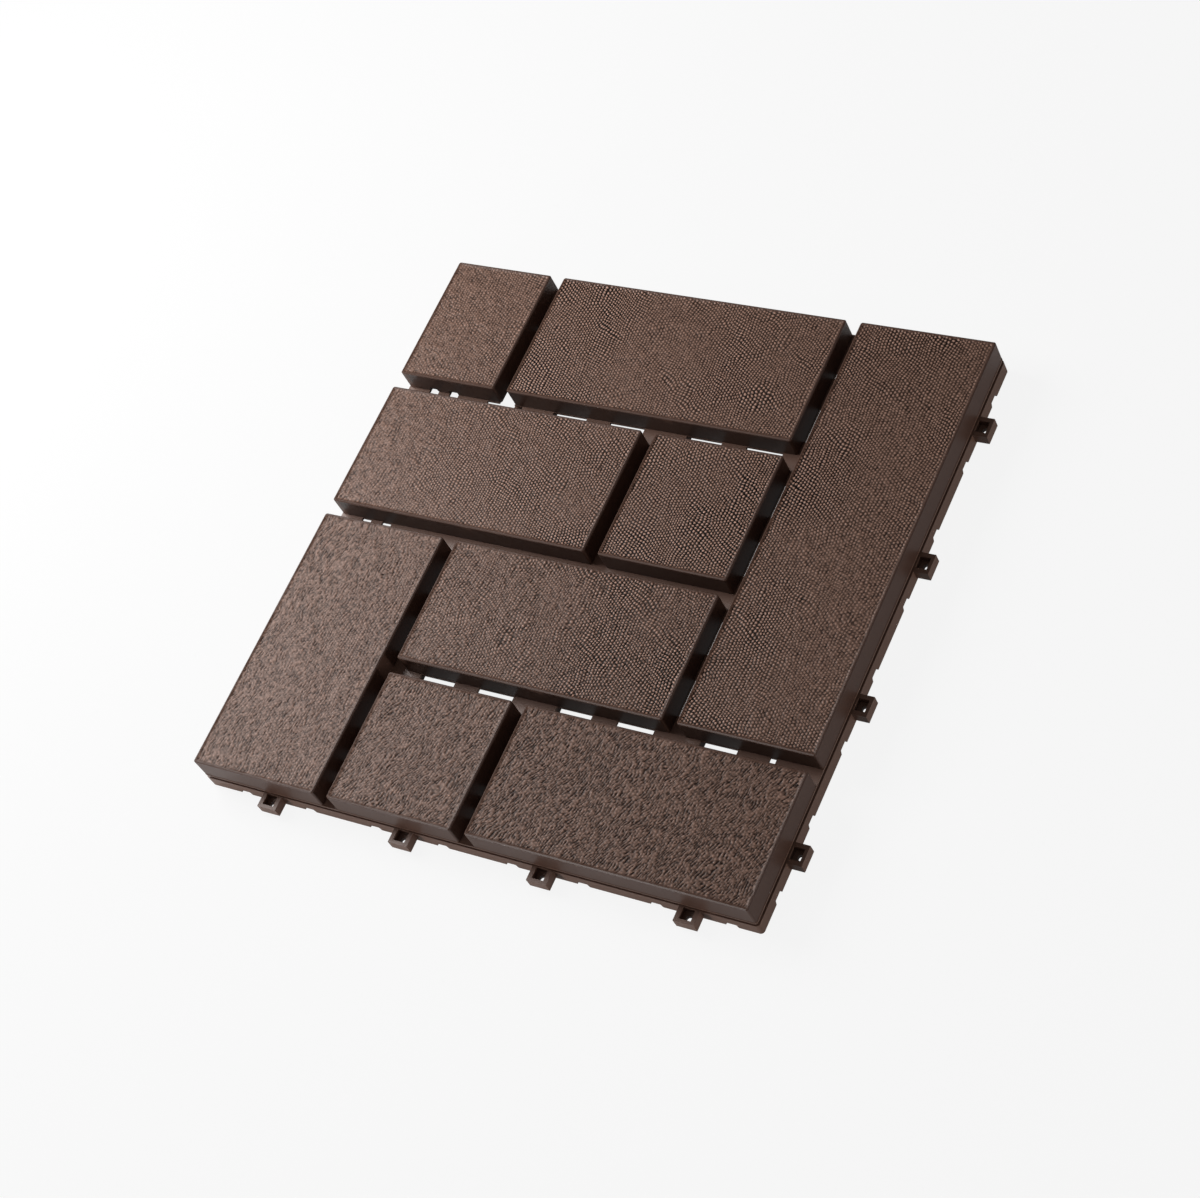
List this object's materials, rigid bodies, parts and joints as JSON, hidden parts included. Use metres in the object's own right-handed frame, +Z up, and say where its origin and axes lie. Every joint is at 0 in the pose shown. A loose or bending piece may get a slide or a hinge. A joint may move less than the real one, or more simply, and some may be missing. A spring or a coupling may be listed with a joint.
{
  "type": "interlocking deck tile",
  "caption": "Square interlocking floor tile for terraces and balconies: staggered stone-grained slab caps with open drain gaps on a lattice base with loops and pegs.",
  "frame": {"origin": "centre of the slab field on the ground plane", "axes": "+X to the side with loops at the right, +Y to the back, +Z up; loops on the front (-Y) and right (+X) sides, pegs on the back and left"},
  "size_m": [0.306, 0.306, 0.0215],
  "materials": {
    "base_polypropylene": "satin",
    "slab_polypropylene": "matte"
  },
  "bodies": {
    "root": {"base_lattice": "base_polypropylene", "slab_back_left": "slab_polypropylene", "slab_back_middle": "slab_polypropylene", "slab_right_long": "slab_polypropylene", "slab_middle_left": "slab_polypropylene", "slab_middle_square": "slab_polypropylene", "slab_left_long": "slab_polypropylene", "slab_centre": "slab_polypropylene", "slab_front_square": "slab_polypropylene", "slab_front_right": "slab_polypropylene"}
  },
  "joints": []
}
